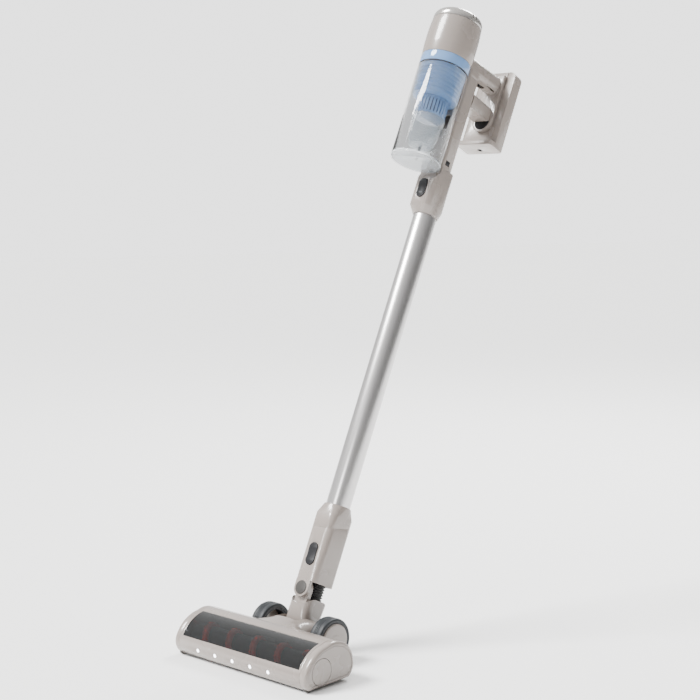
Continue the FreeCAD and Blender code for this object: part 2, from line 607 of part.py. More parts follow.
def make_motor_housing():
    inner = BIN_R - 2.2
    top_inner = HOUSING_TOP_R - 2.2
    mid_inner = HOUSING_MID_R - 2.2
    outline = [(inner, HOUSING_LOW), (BIN_R, HOUSING_LOW), (HOUSING_MID_R, HOUSING_MID - 12),
               (HOUSING_MID_R, HOUSING_MID + 8), (HOUSING_TOP_R, HOUSING_TOP), (top_inner, HOUSING_TOP),
               (mid_inner, HOUSING_MID + 8), (mid_inner, 930), (24.4, 930), (24.4, 927),
               (mid_inner - 0.2, 927)]
    save_stick("motor_housing", turned(outline, 0, BIN_Y))
    low, high = HOUSING_TOP + 0.2, CAP_TOP
    cap = cyl_z(HOUSING_TOP_R, low, high, 0, BIN_Y)
    cap = eased(cap, 12, lambda e: e.BoundBox.ZMin > high - 0.01)
    hollow = cyl_z(top_inner, low - 1, high - 2.2, 0, BIN_Y)
    hollow = eased(hollow, 10, lambda e: e.BoundBox.ZMin > high - 2.21)
    cap = cap.cut(hollow)
    for i in range(22):
        angle = -15.0 + 210.0 * i / 21
        vent = box(28.5, 50, -1.1, 1.1, CAP_TOP - 11, CAP_TOP - 1.5)
        vent.rotate(Vector(0, 0, 0), Vector(0, 0, 1), angle)
        vent.translate(Vector(0, BIN_Y, 0))
        cap = cap.cut(vent)
    save_stick("top_cap", cap)
    save_stick("exhaust_filter", cyl_z(34, 965.5, 970.5, 0, BIN_Y))


def make_motor():
    save_stick("motor_stator", ring_z(24.2, 15, 930.2, 962, 0, BIN_Y))
    rotor = joined(cyl_z(2.5, 908, 964, 0, BIN_Y), cyl_z(14.5, 932, 960, 0, BIN_Y))
    save_stick("motor_rotor", rotor)
    disc = ring_z(27, 2.5, 909, 911, 0, BIN_Y)
    hub = ring_z(7, 2.5, 911, 922, 0, BIN_Y)
    blades = []
    for i in range(9):
        blade = box(6, 26.5, -0.8, 0.8, 911, 919)
        blade.rotate(Vector(0, 0, 0), Vector(0, 0, 1), i * 40.0)
        blade.translate(Vector(0, BIN_Y, 0))
        blades.append(blade)
    save_stick("impeller", joined(disc, hub, *blades))


# ---------------------------------------------------------------- dust bin and cyclone
def make_bin():
    wall = ring_z(BIN_R, BIN_R - 2, BIN_LOW, BIN_TOP, 0, BIN_Y)
    port = box(-9, 9, BIN_Y + 30, BIN_Y + 50, 808, 832)
    lug = joined(cyl_x(1.8, -2.7, 2.7, LID_HINGE_Y, LID_HINGE_Z),
                 box(-2.7, 2.7, LID_HINGE_Y - 1.8, LID_HINGE_Y + 1.4, LID_HINGE_Z, BIN_LOW + 0.5))
    wall = joined(wall.cut(port), lug).cut(cyl_x(0.8 + RUN, -3, 3, LID_HINGE_Y, LID_HINGE_Z))
    save_stick("bin_wall", wall)
    save_stick("bin_seal", ring_z(BIN_R + 0.1, BIN_R - 2.6, BIN_TOP, BIN_TOP + 1.7, 0, BIN_Y))


def make_bin_lid():
    """Hinged floor of the bin. Its hinge is at the back, its thumb lip at the front."""
    lid = cyl_z(BIN_R, BIN_LOW - 4, BIN_LOW - 0.2, 0, BIN_Y)
    lid = eased(lid, 1.5, lambda e: e.BoundBox.ZMax < BIN_LOW - 3.9)
    lid = lid.cut(box(-50, 50, LID_HINGE_Y, 0, 700, 760))
    lid = joined(lid, cyl_x(1.8, -9, 9, LID_HINGE_Y, LID_HINGE_Z))
    lid = lid.cut(box(-3.0, 3.0, LID_HINGE_Y - 2.3, 0, 700, 760))
    lip = rounded_box(-9, 9, BIN_Y - BIN_R - 2.4, BIN_Y - BIN_R + 3, BIN_LOW - 3.6, BIN_LOW - 1.0, 2)
    lid = joined(lid, lip, cyl_x(0.8, -3.5, 3.5, LID_HINGE_Y, LID_HINGE_Z))
    save_stick("bin_lid", lid)


def make_cyclone():
    low = BIN_TOP + 1.7
    outline = [(BIN_R, RING_TOP), (BIN_R, low), (37, low), (37, 884)]
    for i in range(4):
        r = 37.0 - 0.4 * i
        z = 884.0 - 11.0 * i
        outline += [(r, z - 8), (r - 1.2, z - 9), (r - 1.2, z - 11)]
    outline += [(26, 838), (25, 836), (22.6, 836), (22.6, 840), (31.8, 846), (34.5, low), (34.5, RING_TOP)]
    save_stick("cyclone_body", turned(outline, 0, BIN_Y))
    screen = ring_z(24.6, 22.8, 806, 835.8, 0, BIN_Y)
    floor = cyl_z(24.6, 806, 808, 0, BIN_Y)
    for i in range(28):
        slot = box(20, 30, -0.9, 0.9, 810, 832)
        slot.rotate(Vector(0, 0, 0), Vector(0, 0, 1), 360.0 * i / 28)
        slot.translate(Vector(0, BIN_Y, 0))
        screen = screen.cut(slot)
    save_stick("cyclone_screen", joined(screen, floor))
    cup = cyl_z(26.5, 757, 805.8, 0, BIN_Y).cut(cyl_z(24.7, 759, 810, 0, BIN_Y))
    save_stick("cyclone_cup", cup)
    save_stick("cyclone_rod", cyl_z(2.2, BIN_LOW + 1, 757, 0, BIN_Y))
    save_stick("pre_filter", cyl_z(28, 870, 903, 0, BIN_Y))


# ---------------------------------------------------------------- battery pack
def make_battery():
    case = box(-35, 35, PACK_FRONT, PACK_BACK, PACK_LOW, PACK_TOP)
    case = eased(case, 11, lambda e: e.BoundBox.ZMin > PACK_TOP - 0.01 and e.BoundBox.YLength > 5)
    case = eased(case, 3, lambda e: e.BoundBox.YMin > PACK_BACK - 0.01)
    lip = rounded_box(-35, 35, 59, PACK_BACK, PACK_LOW, PACK_LOW + 8, 5)
    case = joined(case, lip)
    cavity = box(-33.2, 33.2, PACK_FRONT + 1.7, PACK_BACK - 1.7, PACK_LOW + 10, PACK_TOP - 13)
    upper = box(-25, 25, PACK_FRONT + 1.7, PACK_BACK - 1.7, PACK_TOP - 14, PACK_TOP - 2)
    cavity = joined(cavity, upper)
    case = case.cut(cavity).cut(cyl_z(4.5, PACK_LOW - 1, PACK_LOW + 11, 0, JACK_Y))
    outer = u_outline(20.6, PACK_FRONT - 1, PACK_FRONT + 1.0)
    inner = u_outline(19.2, PACK_FRONT - 2, PACK_FRONT + 2)
    save_stick("battery_case", case.cut(outer.cut(inner)))
    middle = (PACK_FRONT + PACK_BACK) / 2
    cells = [cyl_x(CELL_R, -CELL_L / 2, CELL_L / 2, middle, 840.4 + i * 18.3) for i in range(6)]
    save_stick("battery_cells", *cells)
    save_stick("battery_board", box(-24, 24, PACK_FRONT + 3, PACK_BACK - 3, 944, 945.6))
    jack = cyl_z(4.5, PACK_LOW, PACK_LOW + 11, 0, JACK_Y)
    jack = jack.cut(cyl_z(JACK_R, PACK_LOW - 1, PACK_LOW + 9.5, 0, JACK_Y))
    save_stick("charge_socket", jack)


def u_outline(half, y0, y1):
    return joined(box(-half, half, y0, y1, 866, 970), cyl_y(half, y0, y1, 0, 866))


make_head_shell()
make_head_window()
make_sole_plate()
make_end_caps()
make_end_plug()
make_neck_cover()
make_head_axles()
make_wheels()
make_front_rollers()
make_head_fittings()
make_roller()
make_bristles()
make_drive()
make_neck_yoke()
make_socket()
make_neck_hose()
make_wand()
make_upper_connector()
make_spine_duct()
make_handle_frame()
make_trigger()
make_motor_housing()
make_motor()
make_bin()
make_bin_lid()
make_cyclone()
make_battery()
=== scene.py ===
import math

import bmesh
import bpy
from mathutils import Matrix, Vector


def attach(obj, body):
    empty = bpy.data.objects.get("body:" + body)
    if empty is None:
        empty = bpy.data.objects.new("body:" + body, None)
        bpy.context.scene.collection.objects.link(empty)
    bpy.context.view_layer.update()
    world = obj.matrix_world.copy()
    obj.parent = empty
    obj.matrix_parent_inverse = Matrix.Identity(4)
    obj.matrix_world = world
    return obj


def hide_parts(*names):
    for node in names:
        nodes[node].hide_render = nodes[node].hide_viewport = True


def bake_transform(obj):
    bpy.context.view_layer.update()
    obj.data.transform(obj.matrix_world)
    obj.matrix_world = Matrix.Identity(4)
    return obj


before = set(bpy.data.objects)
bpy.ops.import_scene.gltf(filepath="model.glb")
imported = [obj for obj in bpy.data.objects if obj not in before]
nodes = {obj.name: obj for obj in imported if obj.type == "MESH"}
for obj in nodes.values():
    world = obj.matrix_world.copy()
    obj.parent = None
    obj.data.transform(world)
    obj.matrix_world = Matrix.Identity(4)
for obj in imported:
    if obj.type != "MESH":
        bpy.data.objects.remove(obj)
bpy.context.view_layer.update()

# ---------------------------------------------------------------- camera
# A standing viewer's long lens, level with the middle of the stick and off its right front
# corner, so that the side of the hand unit and the front of the floor head both show.
camera_data = bpy.data.cameras.new("camera")
camera_data.lens = 74.2
camera_data.sensor_width = 36.0
camera_data.clip_end = 50.0
camera = bpy.data.objects.new("camera", camera_data)
camera.location = (1.4447, -1.4055, 0.6467)
camera.rotation_euler = (math.radians(84.416), 0.0, math.radians(42.623))
bpy.context.collection.objects.link(camera)
bpy.context.scene.camera = camera

# ---------------------------------------------------------------- floor and light
# A plain pale floor and soft studio light: a broad key high on the left, weaker boxes in front and behind,
# and a surround that is bright on the left and dim on the right.


def linear(code):
    """sRGB hex to the linear colour that shaders take."""
    parts = [int(code[i:i + 2], 16) / 255 for i in (1, 3, 5)]
    return [c / 12.92 if c <= 0.04045 else ((c + 0.055) / 1.055) ** 2.4 for c in parts] + [1.0]


def add(tree, kind, values=None, links=None, **settings):
    """Add one node, with its settings, its plain inputs and the sockets that feed it."""
    node = tree.nodes.new(kind)
    for key, value in settings.items():
        setattr(node, key, value)
    for key, value in (values or {}).items():
        node.inputs[key].default_value = value
    for key, socket in (links or {}).items():
        tree.links.new(socket, node.inputs[key])
    return node


def new_object(name, mesh):
    thing = bpy.data.objects.new(name, mesh)
    bpy.context.collection.objects.link(thing)
    return thing


floor_mesh = bpy.data.meshes.new("floor")
floor_mesh.from_pydata([(-14, -9, -0.0006), (14, -9, -0.0006), (14, 30, -0.0006), (-14, 30, -0.0006)],
                       [], [(0, 1, 2, 3)])
floor = new_object("floor", floor_mesh)
floor_paint = bpy.data.materials.new("matt_white_sweep")
floor_paint.use_nodes = True
floor_shader = floor_paint.node_tree.nodes["Principled BSDF"]
floor_shader.inputs["Base Color"].default_value = linear("#F6F6F5")
floor_shader.inputs["Roughness"].default_value = 0.85
floor_shader.inputs["Specular IOR Level"].default_value = 0.2
floor_mesh.materials.append(floor_paint)

surround = bpy.data.worlds.new("surround")
surround.use_nodes = True
sky = surround.node_tree
way = add(sky, "ShaderNodeTexCoord").outputs["Generated"]
lean_left = add(sky, "ShaderNodeVectorMath", {1: (-0.58, -0.10, 0.81)}, {0: way}, operation="DOT_PRODUCT")
ramp = add(sky, "ShaderNodeMapRange", {"From Min": -0.7, "From Max": 0.8, "To Min": 0.06, "To Max": 1.2},
           {"Value": lean_left.outputs["Value"]}, interpolation_type="SMOOTHSTEP")
seen = add(sky, "ShaderNodeLightPath").outputs["Is Camera Ray"]
strength = add(sky, "ShaderNodeMix", {3: 2.6}, {0: seen, 2: ramp.outputs["Result"]})
sky.links.new(strength.outputs[0], sky.nodes["Background"].inputs["Strength"])
sky.nodes["Background"].inputs["Color"].default_value = linear("#FFFFFF")
bpy.context.scene.world = surround

for light_name, kind, place, settings in (
        ("left_key", "SUN", (-1.5, -1.6, 3.3), {"energy": 7.6, "angle": math.radians(22)}),
        ("front_softbox", "AREA", (0.2, -2.8, 1.0), {"energy": 26.0, "size": 0.6}),
        ("rear_softbox", "AREA", (-0.4, 2.4, 2.6), {"energy": 110.0, "size": 1.0})):
    light_data = bpy.data.lights.new(light_name, kind)
    for setting, value in settings.items():
        setattr(light_data, setting, value)
    light = bpy.data.objects.new(light_name, light_data)
    light.location = place
    light.rotation_euler = (Vector((0, 0.2, 0.45)) - Vector(place)).to_track_quat("-Z", "Y").to_euler()
    bpy.context.collection.objects.link(light)

# ---------------------------------------------------------------- main mouldings
# Casings of the hand unit, the sockets and the floor head: injection-moulded ABS in a warm
# light grey with a polished tool finish. The eye sees soft highlights over a faint ripple,
# and rolled edges where two mouldings meet.


def moulded(name, colour, tint, roughness, ripple_mm, depth, coat=0.0, shine=0.5):
    """Moulded plastic: slight mottling of the pigment, and a ripple from the tool's surface."""
    material = bpy.data.materials.new(name)
    material.use_nodes = True
    tree = material.node_tree
    shader = tree.nodes["Principled BSDF"]
    place = add(tree, "ShaderNodeTexCoord").outputs["Object"]
    cloud = add(tree, "ShaderNodeTexNoise", {"Scale": 22.0, "Detail": 3.0}, {"Vector": place})
    blend = add(tree, "ShaderNodeMix", {6: linear(colour), 7: linear(tint)},
                {0: cloud.outputs["Fac"]}, data_type="RGBA")
    ripple = add(tree, "ShaderNodeTexNoise", {"Scale": 1000.0 / ripple_mm, "Detail": 2.0}, {"Vector": place})
    polish = add(tree, "ShaderNodeMapRange", {"To Min": roughness * 0.85, "To Max": roughness * 1.2},
                 {"Value": cloud.outputs["Fac"]})
    relief = add(tree, "ShaderNodeBump", {"Strength": depth, "Distance": 0.0002},
                 {"Height": ripple.outputs["Fac"]})
    tree.links.new(blend.outputs[2], shader.inputs["Base Color"])
    tree.links.new(polish.outputs["Result"], shader.inputs["Roughness"])
    tree.links.new(relief.outputs["Normal"], shader.inputs["Normal"])
    shader.inputs["IOR"].default_value = 1.53
    shader.inputs["Specular IOR Level"].default_value = shine
    shader.inputs["Coat Weight"].default_value = coat
    shader.inputs["Coat Roughness"].default_value = 0.06
    return material


def finished(thing, material, body, slot_name, *stands_for):
    """Give a piece its finish and its CAD body."""
    thing.data.materials.clear()
    thing.data.materials.append(material)
    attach(thing, body)
    if stands_for:
        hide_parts(*stands_for)
    return thing


def settled(thing):
    """Apply a piece's modifiers to its mesh."""
    view = bpy.context.evaluated_depsgraph_get()
    view.update()
    mesh = bpy.data.meshes.new_from_object(thing.evaluated_get(view))
    thing.modifiers.clear()
    thing.data = mesh
    return thing


def softened(node, name, roll_mm, steps=3, angle=35.0):
    """A copy of a CAD node, closed up, with its sharp edges rolled over."""
    mesh = nodes[node].data.copy()
    form = bmesh.new()
    form.from_mesh(mesh)
    bmesh.ops.remove_doubles(form, verts=form.verts, dist=2e-6)
    bmesh.ops.dissolve_limit(form, angle_limit=math.radians(0.6), verts=form.verts, edges=form.edges)
    form.to_mesh(mesh)
    form.free()
    mesh.shade_smooth()
    thing = new_object(name, mesh)
    roll = thing.modifiers.new("roll", "BEVEL")
    roll.width = roll_mm / 1000
    roll.segments = steps
    roll.limit_method = "ANGLE"
    roll.angle_limit = math.radians(angle)
    roll.harden_normals = True
    roll.miter_outer = "MITER_ARC"
    return settled(thing)


abs_grey = moulded("warm_grey_polished_abs", "#8E857E", "#867D77", 0.26, 1.4, 0.08, 0.4)
for node, name, body, roll in (("head_shell", "head_casing", "floor_head", 0.5),
                               ("socket_shell", "neck_socket_shell", "neck_socket", 0.7),
                               ("socket_collar", "neck_socket_collar", "neck_socket", 0.7),
                               ("upper_connector", "wand_connector", "hand_unit", 0.9),
                               ("spine_duct", "duct_moulding", "hand_unit", 0.8),
                               ("handle_frame", "handle_moulding", "hand_unit", 1.6),
                               ("battery_case", "battery_moulding", "battery_pack", 0.9)):
    finished(softened(node, name, roll), abs_grey, body, "body_plastic", node)

# ---------------------------------------------------------------- motor housing and top cap
# Drum over the fan motor, drawn in slightly at its top, with a domed cap that lets the
# exhaust out through slots. Both are ABS; the joint between them shows as a fine groove.


LEAN = math.radians(25)
HINGE = (56.5, 32.0)


def leaned(x, b, t):
    """A point given across, towards the user and up the stick, in millimetres."""
    s, c = math.sin(LEAN), math.cos(LEAN)
    return Vector((x, HINGE[0] + c * b + s * t, HINGE[1] - s * b + c * t)) / 1000


def rolled(points, radius, steps=4):
    """The closed outline with each corner rounded off."""
    result = []
    count = len(points)
    for i, corner in enumerate(points):
        here, before, after = Vector(corner), Vector(points[i - 1]), Vector(points[(i + 1) % count])
        to_before, to_after = before - here, after - here
        reach = min(radius, to_before.length * 0.45, to_after.length * 0.45)
        start, end = here + to_before.normalized() * reach, here + to_after.normalized() * reach
        for k in range(steps + 1):
            f = k / steps
            result.append(start * (1 - f) ** 2 + here * 2 * f * (1 - f) + end * f ** 2)
    return result


def turned(name, outline, place, segments=96):
    """Turn a closed outline of (radius, along) about an axis. place(angle, radius, along) says where."""
    form = bmesh.new()
    rings = [[form.verts.new(place(2 * math.pi * j / segments, p[0], p[1])) for p in outline]
             for j in range(segments)]
    for j in range(segments):
        near, far = rings[j], rings[(j + 1) % segments]
        for i in range(len(outline)):
            k = (i + 1) % len(outline)
            form.faces.new((near[i], near[k], far[k], far[i]))
    bmesh.ops.remove_doubles(form, verts=form.verts, dist=1e-6)
    bmesh.ops.recalc_face_normals(form, faces=form.faces)
    mesh = bpy.data.meshes.new(name)
    form.to_mesh(mesh)
    form.free()
    mesh.shade_smooth()
    mesh.set_sharp_from_angle(angle=math.radians(40))
    return new_object(name, mesh)


def about_stick(b):
    return lambda angle, radius, along: leaned(radius * math.cos(angle), b + radius * math.sin(angle), along)


bin_axis = about_stick(-57.5)
drum = [(37.6, 905), (39.8, 905), (41.0, 922), (41.2, 936), (41.1, 948), (40.4, 960), (39.7, 967.9),
        (37.4, 967.9), (38.6, 948), (38.9, 930), (24.4, 930), (24.4, 927), (38.6, 927)]
finished(turned("motor_drum", rolled(drum, 0.8), bin_axis, 128), abs_grey, "hand_unit", "body_plastic",
         "motor_housing")
silver = moulded("silver_painted_abs", "#B9B5B1", "#ADA9A5", 0.2, 0.9, 0.06, 0.6)
silver.node_tree.nodes["Principled BSDF"].inputs["Metallic"].default_value = 0.7
black_abs = moulded("satin_black_abs", "#141415", "#1B1B1C", 0.38, 0.9, 0.25, shine=0.2)
# A black ring under the cap's slots is painted shade: it sits where shade inside the slots falls, so that
# they read dark.
slot_shade_outline = [(37.3, 969), (37.3, 972.5), (36.2, 977), (33.8, 980.2), (29, 982.1), (24, 982.2), (24, 981.4),
         (28.6, 981.3), (33.2, 979.4), (35.5, 976.6), (36.6, 972.4), (36.6, 969)]
finished(turned("slot_shade_ring", slot_shade_outline, bin_axis, 96), black_abs, "hand_unit", "black_plastic")
finished(softened("top_cap", "exhaust_cap", 0.35, 2, 40), silver, "hand_unit", "body_plastic", "top_cap")

# ---------------------------------------------------------------- dust bin
# Clear injection-moulded polycarbonate cup with a hinged clear floor. Its wall shows as
# darker lines where it is seen edge on, and bends what lies behind it a little.


def clear(name, colour, roughness, ior, alpha=1.0, transmission=1.0, coat=0.0):
    """Transparent plastic, with a faint haze from handling."""
    material = bpy.data.materials.new(name)
    material.use_nodes = True
    tree = material.node_tree
    shader = tree.nodes["Principled BSDF"]
    place = add(tree, "ShaderNodeTexCoord").outputs["Object"]
    haze = add(tree, "ShaderNodeTexNoise", {"Scale": 60.0, "Detail": 4.0}, {"Vector": place})
    polish = add(tree, "ShaderNodeMapRange", {"To Min": roughness * 0.6, "To Max": roughness * 1.5},
                 {"Value": haze.outputs["Fac"]})
    tree.links.new(polish.outputs["Result"], shader.inputs["Roughness"])
    shader.inputs["Base Color"].default_value = linear(colour)
    shader.inputs["IOR"].default_value = ior
    shader.inputs["Transmission Weight"].default_value = transmission
    shader.inputs["Alpha"].default_value = alpha
    shader.inputs["Coat Weight"].default_value = coat
    shader.inputs["Coat Roughness"].default_value = 0.02
    return material


polycarbonate = clear("clear_polycarbonate", "#F4F5F6", 0.01, 1.05, coat=1.0)
finished(softened("bin_wall", "bin_cup", 0.5, 2, 40), polycarbonate, "dust_bin", "clear_plastic", "bin_wall")
frosted = clear("frosted_clear_san", "#E6EAED", 0.14, 1.12, 1.0, 0.85, 0.6)
finished(softened("bin_lid", "bin_floor", 0.4, 2, 40), frosted, "bin_lid", "clear_plastic", "bin_lid")

# ---------------------------------------------------------------- cyclone
# The separator stands in the bin: a ribbed skirt, rim and slotted grille in light blue
# translucent plastic, dark mesh behind the grille and a frosted fine-dust cup at the bottom.
blue_styrene = clear("light_blue_translucent_san", "#86AEE0", 0.08, 1.3, 1.0, 0.4, 0.6)
skirt = [(39.75, 904.6), (39.8, 888.8), (37.0, 888.8), (37.0, 885)]
for step in range(7):
    top = 884 - 6.6 * step
    skirt += [(37.2 - 0.2 * step, top), (37.2 - 0.2 * step, top - 4.2), (35.7 - 0.2 * step, top - 4.9),
              (35.7 - 0.2 * step, top - 6.3)]
skirt += [(34.6, 838), (26, 837), (22.6, 836), (22.6, 840), (31.8, 846), (34.3, 888), (36.9, 893),
          (36.9, 904.6)]
finished(turned("cyclone_skirt", rolled(skirt, 0.5, 2), bin_axis, 96), blue_styrene, "dust_bin",
         "blue_plastic", "cyclone_body")
screen_blue = moulded("dark_blue_woven_mesh", "#0B1424", "#101C30", 0.5, 0.8, 0.3)
finished(softened("cyclone_screen", "cyclone_grille", 0.25, 1, 40), blue_styrene, "dust_bin", "blue_plastic",
         "cyclone_screen")
finished(turned("screen_mesh", [(21.6, 808.6), (22.4, 808.6), (22.4, 835.4), (21.6, 835.4)], bin_axis, 64),
         screen_blue, "dust_bin", "blue_screen")
cup = [(26.6, 805.6), (26.6, 798), (24.8, 792), (23.6, 770), (20.5, 760), (18.0, 757.2), (2.4, 757.2),
       (2.4, 759), (17.4, 759), (19.2, 761.4), (22.0, 771), (23.2, 792.6), (25.1, 799), (25.1, 805.6)]
finished(turned("fine_dust_cup", rolled(cup, 1.0, 3), bin_axis, 72), frosted, "dust_bin", "clear_plastic",
         "cyclone_cup")

# ---------------------------------------------------------------- wand
# Drawn aluminium tube, brushed along its length and anodised in natural silver. The
# brushing stretches highlights across the tube into one soft band.
anodised = bpy.data.materials.new("satin_silver_anodised_aluminium")
anodised.use_nodes = True
metal_tree = anodised.node_tree
metal = metal_tree.nodes["Principled BSDF"]
metal_place = add(metal_tree, "ShaderNodeTexCoord").outputs["Object"]
metal_turn = add(metal_tree, "ShaderNodeMapping",
                 {"Rotation": (LEAN, 0, 0), "Scale": (1, 1, 0.012)}, {"Vector": metal_place})
draw_lines = add(metal_tree, "ShaderNodeTexNoise", {"Scale": 1400.0, "Detail": 3.0},
                 {"Vector": metal_turn.outputs["Vector"]})
metal_shade = add(metal_tree, "ShaderNodeMix", {6: linear("#CDCBCA"), 7: linear("#BDBBBA")},
                  {0: draw_lines.outputs["Fac"]}, data_type="RGBA")
metal_polish = add(metal_tree, "ShaderNodeMapRange", {"To Min": 0.24, "To Max": 0.36},
                   {"Value": draw_lines.outputs["Fac"]})
metal_relief = add(metal_tree, "ShaderNodeBump", {"Strength": 0.12, "Distance": 0.00005},
                   {"Height": draw_lines.outputs["Fac"]})
metal_tree.links.new(metal_shade.outputs[2], metal.inputs["Base Color"])
metal_tree.links.new(metal_polish.outputs["Result"], metal.inputs["Roughness"])
metal_tree.links.new(metal_relief.outputs["Normal"], metal.inputs["Normal"])
metal.inputs["Metallic"].default_value = 1.0
tube = [(17.3, 152), (18.5, 152), (18.5, 712), (17.3, 712)]
finished(turned("anodised_wand", rolled(tube, 0.4, 2), about_stick(0), 128), anodised, "wand", "satin_tube",
         "wand_tube")

# ---------------------------------------------------------------- wheels
# Each wheel is a slate-grey thermoplastic rubber tyre moulded on a nylon hub, with a
# polished grey cap. The tread has shallow rings that catch the light on the shoulder.
tyre_rubber = moulded("slate_grey_tpe_rubber", "#26292C", "#202326", 0.5, 0.6, 0.35, shine=0.3)
tyre = [(25.9, -10.2), (30.2, -11), (32.2, -10.0), (33.0, -7.6)]
for groove in (-2.6, 0.0, 2.6):
    tyre += [(33.0, groove - 0.7), (32.4, groove - 0.35), (32.4, groove + 0.35), (33.0, groove + 0.7)]
tyre += [(33.0, 7.6), (32.2, 10.0), (30.2, 11), (25.9, 10.2)]
hub = [(25.8, 6.0), (25.7, 10.6), (25.2, 11.8), (23.8, 12.4), (14, 12.5), (9.4, 12.2), (8.8, 12.5),
       (2.6, 12.5),
       (2.6, -7.8), (6.8, -7.8), (6.8, 6.0)]
drum_side = [(25.85, 5.8), (25.85, -9.6), (23.6, -9.6), (23.6, 5.8)]


def about_wheel(side):
    return lambda angle, radius, along: Vector((side * (60 + along), 55 + radius * math.cos(angle),
                                                33 + radius * math.sin(angle))) / 1000


for side, word in ((-1, "left"), (1, "right")):
    finished(turned("tyre_" + word, rolled(tyre, 0.6, 2), about_wheel(side), 128), tyre_rubber,
             "wheel_" + word, "wheel_rubber", "wheel_tyre_" + word)
    finished(turned("hub_cap_" + word, rolled(hub, 0.6, 2), about_wheel(side), 96), abs_grey, "wheel_" + word,
             "body_plastic", "wheel_hub_" + word)
    finished(turned("wheel_drum_" + word, rolled(drum_side, 0.4, 2), about_wheel(side), 96), tyre_rubber,
             "wheel_" + word, "wheel_rubber")

# ---------------------------------------------------------------- end caps
# The head's cheeks: solid-looking ABS mouldings with a rolled rim. The right one
# is bored for the turn-lock plug that lets the roller out.
FRONT = -62.0
ROLLER = (-37.0, 24.5)


def three_point_arc(a, m, b, steps):
    """Points from a to b on the circle through a, m and b, without b."""
    ax, ay, bx, by, cx, cy = a[0], a[1], m[0], m[1], b[0], b[1]
    d = 2 * (ax * (by - cy) + bx * (cy - ay) + cx * (ay - by))
    ux = ((ax**2 + ay**2) * (by - cy) + (bx**2 + by**2) * (cy - ay) + (cx**2 + cy**2) * (ay - by)) / d
    uy = ((ax**2 + ay**2) * (cx - bx) + (bx**2 + by**2) * (ax - cx) + (cx**2 + cy**2) * (bx - ax)) / d
    radius = math.hypot(ax - ux, ay - uy)
    start, end = math.atan2(ay - uy, ax - ux), math.atan2(cy - uy, cx - ux)
    while end > start:
        end -= 2 * math.pi
    return [(ux + radius * math.cos(start + (end - start) * i / steps),
             uy + radius * math.sin(start + (end - start) * i / steps)) for i in range(steps)]


def head_outline():
    """Side outline of the head, front bottom corner first and over the top to the rear."""
    points = []
    for a, m, b, steps in (((2, 3), (-6.5, 16), (-3.5, 31), 10), ((-3.5, 31), (12.5, 49), (37, 58.5), 18),
                           ((37, 58.5), (50, 61), (63, 58.5), 10), ((63, 58.5), (82, 47), (90, 28), 14),
                           ((90, 28), (89, 14), (80, 4), 10)):
        points += three_point_arc(a, m, b, steps)
    points += [(80 - 78 * i / 16, 4 - i / 16) for i in range(16)]
    return points


def drawn_in(points, inset):
    """The outline shrunk about its middle by about the given distance all round."""
    return [(42 + (y - 42) * (1 - inset / 48), 31 + (z - 31) * (1 - inset / 30)) for y, z in points]


def lofted(name, rings):
    """Skin through rings of the same number of points, closed with a face at each end."""
    form = bmesh.new()
    rows = [[form.verts.new(p) for p in ring] for ring in rings]
    for near, far in zip(rows, rows[1:]):
        for i in range(len(near)):
            k = (i + 1) % len(near)
            form.faces.new((near[i], near[k], far[k], far[i]))
    form.faces.new(rows[0][::-1])
    form.faces.new(rows[-1])
    bmesh.ops.recalc_face_normals(form, faces=form.faces)
    mesh = bpy.data.meshes.new(name)
    form.to_mesh(mesh)
    form.free()
    mesh.shade_smooth()
    mesh.set_sharp_from_angle(angle=math.radians(40))
    for face in mesh.polygons:
        face.use_smooth = face.loop_total <= 4
    return new_object(name, mesh)


def bored(thing, tools, operation="DIFFERENCE"):
    """Cut the tool shapes out of a piece, or keep only what they hold."""
    for tool in tools:
        cut = thing.modifiers.new("cut", "BOOLEAN")
        cut.operation = operation
        cut.solver = "EXACT"
        cut.object = tool
    settled(thing)
    for tool in tools:
        bpy.data.objects.remove(tool)
    return thing


def drill(y, z, radius, x0, x1):
    """A closed cylinder across the head, for cutting."""
    form = bmesh.new()
    place = Matrix.Translation(Vector(((x0 + x1) / 2, y, z)) / 1000) @ Matrix.Rotation(math.pi / 2, 4, "Y")
    bmesh.ops.create_cone(form, cap_ends=True, segments=96, radius1=radius / 1000, radius2=radius / 1000,
                          depth=abs(x1 - x0) / 1000, matrix=place)
    mesh = bpy.data.meshes.new("drill")
    form.to_mesh(mesh)
    form.free()
    return new_object("drill", mesh)


def across(y, z, side=1):
    return lambda angle, radius, along: Vector((side * along, y + radius * math.cos(angle),
                                                z + radius * math.sin(angle))) / 1000


RIM = 5.0
for side, word in ((-1, "left"), (1, "right")):
    stations = [(122.1, 0.35), (122.5, 0.0)]
    stations += [(134 - RIM + RIM * math.sin(a * math.pi / 16), RIM * (1 - math.cos(a * math.pi / 16)) * 0.95)
                 for a in range(9)]
    stations += [(133.9, 5.4), (133.3, 5.8), (133.3, 6.3), (133.7, 6.8)]
    outline = head_outline()
    rings = [[Vector((side * x, FRONT + y, z)) / 1000 for y, z in drawn_in(outline, inset)]
             for x, inset in stations]
    cheek = lofted("end_cheek_" + word, rings)
    tools = [drill(FRONT + 4, 4.4, 5.0, side * 123.1, side * 129.9)]
    if side > 0:
        tools.append(drill(*ROLLER, 19.1, 116, 140))
        plug = bored(lofted("turn_lock_plug", rings), [drill(*ROLLER, 18.3, 118, 140)], "INTERSECT")
    finished(bored(cheek, tools), abs_grey, "floor_head", "body_plastic", "end_cap_" + word)
finished(plug, abs_grey, "end_plug", "body_plastic", "end_plug")

# ---------------------------------------------------------------- hinge dome
# The smooth hump behind the casing that holds the tilt hinge between the wheels. It is one
# ABS moulding, split by the slot in which the neck fork swings.


